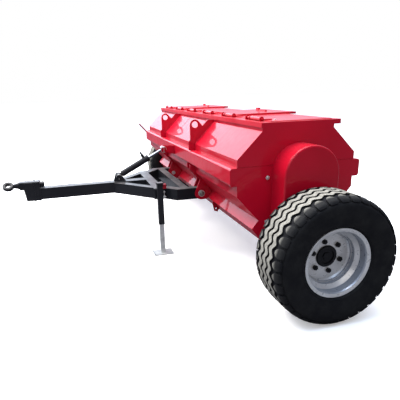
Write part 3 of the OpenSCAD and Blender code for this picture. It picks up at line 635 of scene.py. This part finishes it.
def makeLobe(side, pitch):
    s = tyreSettings
    t0, t1 = lobeTurns()
    lobe = treadPart((1, 1, 1), s["lobeCuts"], True)
    shift = 0 if side > 0 else pitch / 2  # the lobes nest in the waves of the ribs
    for v in lobe.data.vertices:
        across = v.co.y + 0.5
        inner = max(0.0, 1 - across / s["lobeRound"])
        tail = max(0.0, (across - 1 + s["lobeTail"]) / s["lobeTail"])
        narrow = math.sqrt(max(s["lobeLeast"], 1 - inner ** s["lobeCurve"]))
        narrow *= 1 - s["lobeTaper"] * tail ** 2
        flat = crown(side * (t0 + (t1 - t0) * across), (v.co.z - 0.5) * s["treadDepth"])
        v.co = onWheel(shift + v.co.x * (pitch - s["lobeGap"]) * narrow, flat)
    return lobe


def makeFin(side, pitch):
    s = tyreSettings
    t0, t1 = lobeTurns()
    low, high = s["finLong"]
    fin = treadPart((1, 1, 1), s["finCuts"], True)
    shift = pitch / 2 if side > 0 else 0
    for v in fin.data.vertices:
        across = low + (high - low) * (v.co.y + 0.5)
        flat = crown(side * (t0 + (t1 - t0) * across), (v.co.z - 0.5) * s["finHigh"] - s["finSink"])
        v.co = onWheel(shift + v.co.x * s["finWide"], flat)
    return fin


def spinCopies(obj, count):
    openMesh(obj)
    bpy.ops.mesh.select_all(action="SELECT")
    bpy.ops.mesh.spin(steps=count - 1, dupli=True, angle=2 * math.pi * (count - 1) / count,
                      center=tuple(axle), axis=(0, 1, 0))
    bpy.ops.mesh.select_all(action="SELECT")
    bpy.ops.mesh.remove_doubles(threshold=mergeWithin["tread"])
    closeMesh()


def makeCarcass():
    s = tyreSettings
    right = []
    fadeStart, fadeLong = s["treadFade"]
    for deg in s["wallDegrees"]:
        fade = max(0.0, min(1.0, (deg - fadeStart) / fadeLong))
        right.append(crown(math.radians(deg), -s["treadDepth"] * (1 - fade * fade * (3 - 2 * fade))))
    right += [Vector(p) for p in s["wallLow"]]
    outline = [Vector((-p.x, p.y)) for p in reversed(right[1:])] + right
    deselectAll()
    bpy.ops.mesh.primitive_plane_add(size=0.01)
    carcass = bpy.context.object
    openMesh(carcass)
    bpy.ops.mesh.select_mode(type="VERT")
    bpy.ops.mesh.select_all(action="SELECT")
    bpy.ops.mesh.merge(type="CENTER")
    start = onWheel(0, outline[0])
    bpy.ops.transform.translate(value=start)
    for p, q in zip(outline, outline[1:] + outline[:1]):
        bpy.ops.mesh.extrude_vertices_move(TRANSFORM_OT_translate={"value": onWheel(0, q) - onWheel(0, p)})
    bpy.ops.mesh.select_all(action="SELECT")
    bpy.ops.mesh.remove_doubles(threshold=mergeWithin["wall"])
    bpy.ops.mesh.spin(steps=s["turns"], angle=2 * math.pi, center=tuple(axle), axis=(0, 1, 0))
    bpy.ops.mesh.select_all(action="SELECT")
    bpy.ops.mesh.remove_doubles(threshold=mergeWithin["wall"])
    closeMesh()
    return carcass


def makeTyres():
    s = tyreSettings
    pitch = 2 * math.pi * tyreRadius / s["waves"]
    ring = [makeRib(middle, pitch) for middle in s["ribs"]]
    ring += [makeLobe(side, pitch) for side in (-1, 1)]
    ring += [makeFin(side, pitch) for side in (-1, 1)]
    tread = joined(ring, "tread")
    spinCopies(tread, s["waves"])
    openMesh(tread)
    bpy.ops.mesh.select_all(action="SELECT")
    bpy.ops.mesh.normals_make_consistent(inside=False)
    closeMesh()
    bevelled(tread, s["edge"], 1, s["edgeAngle"])
    carcass = makeCarcass()
    tread.data.materials.append(finishes["dusty_tread"])
    carcass.data.materials.append(finishes["tyre_rubber"])
    tyre = joined([carcass, tread], "tyreLeft")
    finishPiece(tyre, "left_wheel", "tyre_rubber", s["smoothAngle"], True)
    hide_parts("tyre_left")
    otherLow, otherHigh = [Vector(v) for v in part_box("tyre_right")]
    other = copyTo(tyre, "tyreRight", (0, (otherLow.y + otherHigh.y) / 2 - axle.y, 0))
    finishPiece(other, "right_wheel", "tyre_rubber", s["smoothAngle"], True)
    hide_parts("tyre_right")


makeTyres()
print("tyres made")

# small parts of the hopper, the drawbar and the wheels

jointAt = {j["name"]: Vector(j["pos_m"]) for j in frame["joints"] if j.get("pos_m")}


def place(x, y, z):  # metres, x from the axle line
    return Vector((axle.x + x, y, z))


def aimed(direction):  # turns the up axis towards a direction
    return Vector(direction).to_track_quat("Z", "Y").to_matrix().to_4x4()


boltSettings = {
    "across": 0.019, "head": 0.008, "washer": 0.0145, "washerThick": 0.002, "washerEdge": 0.0006,
    "washerSides": 20, "crown": 0.0022,
    "guardSide": (0.230, 0.876), "guardLow": 0.565,  # beside the guard, and the lower pair
    "endDeck": (0.131, 1.482),
}


def makeBolt():
    b = boltSettings
    head = newRod(b["across"] / math.sqrt(3), b["head"], (0, 0, b["washerThick"] + b["head"] / 2), 6)
    openMesh(head)
    pick(head, "FACE", faceTowards(2, 1))
    bpy.ops.mesh.inset(thickness=b["crown"])
    bpy.ops.transform.translate(value=(0, 0, b["crown"] / 2))
    closeMesh()
    washer = newRod(b["washer"], b["washerThick"], (0, 0, b["washerThick"] / 2), b["washerSides"])
    bevelled(washer, b["washerEdge"], 1)
    return joined([head, washer], "boltPattern")


def makeBolts():
    b = boltSettings
    pattern = makeBolt()
    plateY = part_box("end_plate_left")[1].y
    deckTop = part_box("top_deck")[1].z
    guardLow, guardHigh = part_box("drive_guard_left")
    middle = (guardLow.x + guardHigh.x) / 2 - axle.x
    reach = b["guardSide"][0] - middle
    spots = []
    for side in (-1, 1):
        for x in (middle - reach, middle + reach):
            for z in (b["guardSide"][1], b["guardLow"]):
                spots.append((place(x, side * plateY, z), (0, side, 0)))
        x, y = b["endDeck"]
        spots.append((place(x, side * y, deckTop), (0, 0, 1)))
    bolts = [copyTo(pattern, "bolt", at, aimed(way)) for at, way in spots]
    bpy.data.objects.remove(pattern)
    finishPiece(joined(bolts, "plateBolts"), "hopper", "zinc_steel")


makeBolts()

pinSettings = {
    "ring": 0.029, "wire": 0.0028, "ringShape": (0.92, 1, 1.08), "ringLean": 0.35, "ringDown": 0.004,
    "shank": 0.0045, "long": 0.05, "tipIn": 0.0018, "tipLong": 0.003,
    "head": (0.013, 0.011, 0.012), "headDown": 0.003, "headEdge": 0.002,
    "baseIn": 0.005, "rodIn": 0.004, "rodPin": (0.612, 0.907),
    "shankSides": 14, "ringSides": 28, "wireSides": 8,
}


def makeLinchPin():
    # a shank through the pin's end, with its spring ring hanging outside
    k = pinSettings
    shank = newRod(k["shank"], k["long"], (0, 0, 0), k["shankSides"])
    openMesh(shank)
    pick(shank, "FACE", faceTowards(2, -1))
    bpy.ops.mesh.inset(thickness=k["tipIn"])
    bpy.ops.transform.translate(value=(0, 0, -k["tipLong"]))
    closeMesh()
    head = newBox(k["head"], (0, 0, k["long"] / 2 - k["headDown"]))
    bevelled(head, k["headEdge"])
    deselectAll()
    bpy.ops.mesh.primitive_torus_add(major_radius=k["ring"], minor_radius=k["wire"],
                                     major_segments=k["ringSides"], minor_segments=k["wireSides"],
                                     rotation=(math.pi / 2, 0, 0))
    ring = bpy.context.object
    bpy.ops.object.transform_apply(location=True, rotation=True, scale=True)
    openMesh(ring)
    bpy.ops.mesh.select_all(action="SELECT")
    bpy.ops.transform.resize(value=k["ringShape"])
    bpy.ops.transform.rotate(value=k["ringLean"], orient_axis="X", center_override=(0, 0, k["ring"]))
    bpy.ops.transform.translate(value=(0, k["head"][1] / 2, k["long"] / 2 - k["ringDown"] - k["ring"]))
    closeMesh()
    return joined([shank, head, ring], "linchPattern")


def makeLinchPins():
    k = pinSettings
    pattern = makeLinchPin()
    basePin = jointAt["cylinder_swing"]
    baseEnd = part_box("cylinder_base")[1].y - k["baseIn"]
    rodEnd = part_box("cylinder_bracket")[1].y - k["rodIn"]
    base = copyTo(pattern, "basePinClip", (basePin.x, baseEnd, basePin.z))
    finishPiece(base, "drawbar", "zinc_steel")
    rod = copyTo(pattern, "rodPinClip", place(k["rodPin"][0], rodEnd, k["rodPin"][1]))
    finishPiece(rod, "hopper", "zinc_steel")
    bpy.data.objects.remove(pattern)


makeLinchPins()

nutSettings = {
    "across": 0.041, "thick": 0.018, "edge": 0.002, "collar": 0.44, "collarHigh": 0.006, "collarIn": 0.003,
    "thread": 0.0125, "threadLong": 0.027, "cotter": 0.0025, "seat": 0.0005,
    "sides": 18, "cotterSides": 10,
}


def makeNuts():
    # castle nuts on the outer ends of the drawbar's hinge pins
    n = nutSettings
    collarAt = n["thick"] + n["collarHigh"] / 2
    nut = newRod(n["across"] / math.sqrt(3), n["thick"], (0, 0, n["thick"] / 2), 6)
    bevelled(nut, n["edge"])
    collar = newRod(n["across"] * n["collar"], n["collarHigh"], (0, 0, collarAt), n["sides"])
    openMesh(collar)
    pick(collar, "FACE", faceTowards(2, 1))
    bpy.ops.mesh.inset(thickness=n["collarIn"])
    closeMesh()
    thread = newRod(n["thread"], n["threadLong"], (0, 0, n["threadLong"] / 2), n["sides"])
    bevelled(thread, n["edge"], 1)
    cotter = newRod(n["cotter"], n["across"], (0, 0, collarAt), n["cotterSides"])
    openMesh(cotter)
    bpy.ops.mesh.select_all(action="SELECT")
    bpy.ops.transform.rotate(value=math.pi / 2, orient_axis="X", center_override=(0, 0, collarAt))
    closeMesh()
    pattern = joined([nut, collar, thread, cotter], "nutPattern")
    hinge = jointAt["drawbar_pitch"]
    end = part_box("drawbar_pins")[1].y - n["seat"]
    nuts = [copyTo(pattern, "nut", (hinge.x, side * end, hinge.z), aimed((0, side, 0))) for side in (-1, 1)]
    bpy.data.objects.remove(pattern)
    finishPiece(joined(nuts, "hingePinNuts"), "hopper", "bare_steel")


makeNuts()

portSettings = {
    "out": 0.052, "along": 0.306,  # above the cylinder's axis, and from the base pin
    "hex": 0.013, "hexHigh": 0.012, "hexEdge": 0.001, "neck": 0.008, "neckHigh": 0.010, "neckOut": 0.002,
    "cap": 0.0105, "capHigh": 0.016, "capEdge": 0.003, "capSides": 20, "seat": 0.0005,
}


def makePort():
    # union and dust cap on the barrel's port
    k = portSettings
    hexBody = newRod(k["hex"], k["hexHigh"], (0, 0, k["hexHigh"] / 2), 6)
    openMesh(hexBody)
    pick(hexBody, "FACE", faceTowards(2, 1))
    bpy.ops.mesh.inset(thickness=k["hex"] - k["neck"] - k["neckOut"])
    bpy.ops.mesh.extrude_region_move(TRANSFORM_OT_translate={"value": (0, 0, k["neckHigh"])})
    closeMesh()
    capAt = k["hexHigh"] + k["neckHigh"] + k["capHigh"] / 2
    cap = newRod(k["cap"], k["capHigh"], (0, 0, capAt), k["capSides"])
    bevelled(cap, k["capEdge"])
    bevelled(hexBody, k["hexEdge"], 1)
    port = joined([hexBody, cap], "portUnion")
    basePin = jointAt["cylinder_swing"]
    rodPin = place(pinSettings["rodPin"][0], 0, pinSettings["rodPin"][1])
    line = (rodPin - basePin).normalized()
    up = Vector((line.z, 0, -line.x))
    up = up if up.z > 0 else -up
    foot = basePin + line * k["along"] + up * (k["out"] - k["seat"])
    port.data.transform(Matrix.Translation(foot) @ aimed(up))
    finishPiece(port, "barrel", "black_paint")


makePort()

plungerSettings = {
    "back": 0.014, "low": 0.520, "high": 0.585, "rod": 0.0045, "ball": 0.010,
    "lug": (0.030, 0.024, 0.008), "lugAt": 0.540, "lugEdge": 0.002, "seat": 0.0005,
    "sleeve": 0.008, "sleeveLong": 0.024, "sleeveEdge": 0.001,
    "rodSides": 12, "sleeveSides": 16, "ballSides": (16, 10),
}


def makePlunger():
    # spring plunger behind the jack tube, with a ball on its rod
    k = plungerSettings
    low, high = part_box("jack_leg")
    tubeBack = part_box("jack_gear")[1].x
    y = (low.y + high.y) / 2
    x = tubeBack - k["back"]
    rod = newRod(k["rod"], k["high"] - k["low"], (x, y, (k["high"] + k["low"]) / 2), k["rodSides"])
    sleeve = newRod(k["sleeve"], k["sleeveLong"], (x, y, k["lugAt"]), k["sleeveSides"])
    bevelled(sleeve, k["sleeveEdge"], 1)
    lug = newBox(k["lug"], (tubeBack - k["lug"][0] / 2 + k["seat"], y, k["lugAt"]))
    bevelled(lug, k["lugEdge"])
    deselectAll()
    segments, rings = k["ballSides"]
    bpy.ops.mesh.primitive_uv_sphere_add(segments=segments, ring_count=rings, radius=k["ball"],
                                         location=(x, y, k["high"]))
    ball = bpy.context.object
    bpy.ops.object.transform_apply(location=True, rotation=True, scale=True)
    finishPiece(joined([rod, sleeve, lug, ball], "jackPlunger"), "drawbar", "zinc_steel")


makePlunger()
print("pins, port and plunger made")

weldSettings = {
    "bead": 0.0035, "ripple": 0.2, "step": 0.006, "sides": 8, "fewest": 4, "smoothAngle": 60,
    "ends": 0.006, "baseEnds": 0.004, "ribPlate": 0.006,
    "ribTop": (0.269, 1.182), "ribFoot": (0.440, 1.012),  # out from the hopper's middle, and height
    "seamY": -0.165, "seamBead": 0.0016, "seamTop": (0.2655, 1.1855), "seamFoot": (0.4415, 1.0105),
}


def makeBead(start, end, radius):
    w = weldSettings
    start, end = Vector(start), Vector(end)
    long = (end - start).length
    rings = max(w["fewest"], int(long / w["step"]))
    bead = newRod(radius, long, (0, 0, 0), w["sides"])
    openMesh(bead)
    pick(bead, "EDGE", edgeAlong(2))
    bpy.ops.mesh.subdivide(number_cuts=rings)
    closeMesh()
    for v in bead.data.vertices:
        ring = round((v.co.z / long + 0.5) * (rings + 1))
        size = 1 - w["ripple"] * (ring % 2)
        v.co.x *= size
        v.co.y *= size
    bead.data.transform(Matrix.Translation((start + end) / 2) @ aimed(end - start))
    return bead


def makeDrawbarWelds():
    w = weldSettings
    tongueLow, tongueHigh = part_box("tongue")
    crossLow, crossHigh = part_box("front_cross_beam")
    baseLow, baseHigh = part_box("cylinder_base")
    tubeLow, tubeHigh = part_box("rear_cross_tube")
    spots = []  # upright beads
    for y in (tongueLow.y, tongueHigh.y):
        spots.append((crossHigh.x, y, crossLow.z, crossHigh.z))
        spots.append((tongueHigh.x, y, tongueLow.z, tongueHigh.z))
    lines = [((x, y, low + w["ends"]), (x, y, high - w["ends"])) for x, y, low, high in spots]
    top = tongueHigh.z
    for y in (baseLow.y + w["ends"], baseHigh.y - w["ends"]):
        lines.append(((baseLow.x + w["baseEnds"], y, top), (baseHigh.x - w["baseEnds"], y, top)))
    for y in (tubeLow.y, tubeHigh.y):
        for x in (tubeLow.x, tubeHigh.x):
            lines.append(((x, y, tubeLow.z + w["ends"]), (x, y, tubeHigh.z - w["ends"])))
    beads = [makeBead(a, b, w["bead"]) for a, b in lines]
    finishPiece(joined(beads, "drawbarWelds"), "drawbar", "black_paint", w["smoothAngle"])


def makeHopperWelds():
    w = weldSettings
    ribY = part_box("lifting_ribs")[1].y - w["ribPlate"]
    hopperMid = (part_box("front_beam")[0].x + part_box("rear_beam")[1].x) / 2

    def onSlope(way, spot, y):
        return Vector((hopperMid + way * spot[0], y, spot[1]))

    beads = []
    for way in (-1, 1):  # front and rear slopes
        for side in (-1, 1):
            for face in (-w["ribPlate"], w["ribPlate"]):
                y = side * ribY + face
                beads.append(makeBead(onSlope(way, w["ribTop"], y), onSlope(way, w["ribFoot"], y), w["bead"]))
    for way in (-1, 1):
        start, end = [onSlope(way, w[k], w["seamY"]) for k in ("seamTop", "seamFoot")]
        beads.append(makeBead(start, end, w["seamBead"]))
    finishPiece(joined(beads, "hopperWelds"), "hopper", "red_paint", w["smoothAngle"])


makeDrawbarWelds()
makeHopperWelds()
print("welds made")
